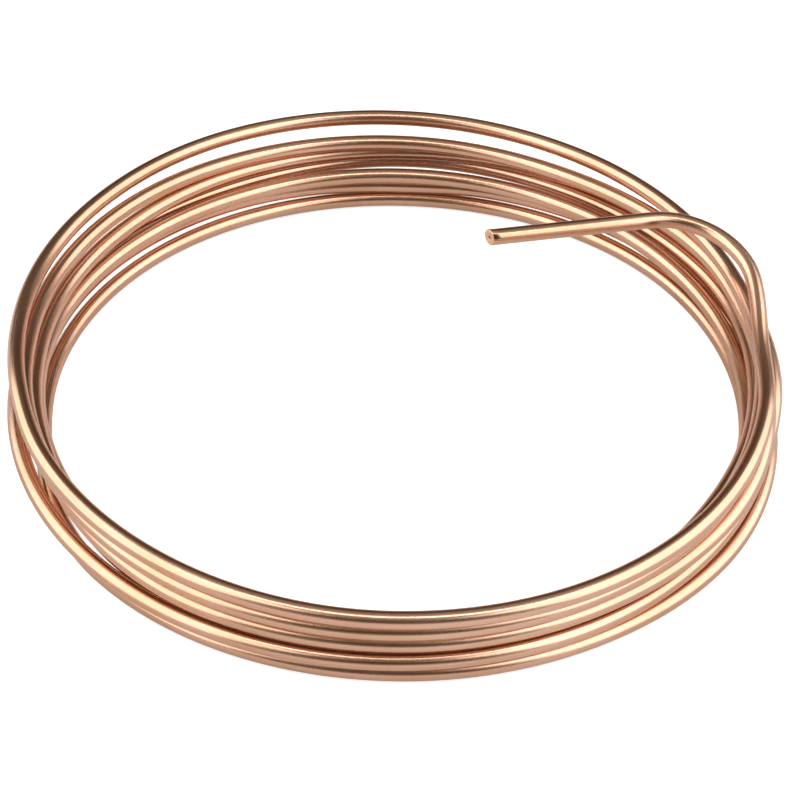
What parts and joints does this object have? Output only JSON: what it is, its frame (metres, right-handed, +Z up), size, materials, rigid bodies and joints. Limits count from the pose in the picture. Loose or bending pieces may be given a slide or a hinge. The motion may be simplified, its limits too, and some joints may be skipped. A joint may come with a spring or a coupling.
{
  "type": "copper capillary tube",
  "caption": "Coil of thin round copper capillary tube, loosely wound, with one end bent inwards over the coil and a through bore.",
  "frame": {"origin": "on the floor, under the middle of the coil's bounding box", "axes": "+Z up along the coil's axis; +X right and -Y towards the front of the picture, so the free end crosses the coil at the back right"},
  "size_m": [0.0926, 0.0944, 0.0179],
  "materials": {
    "copper": "bright drawn copper, lightly scratched"
  },
  "bodies": {
    "root": {"capillary_tube": "copper"}
  },
  "joints": []
}
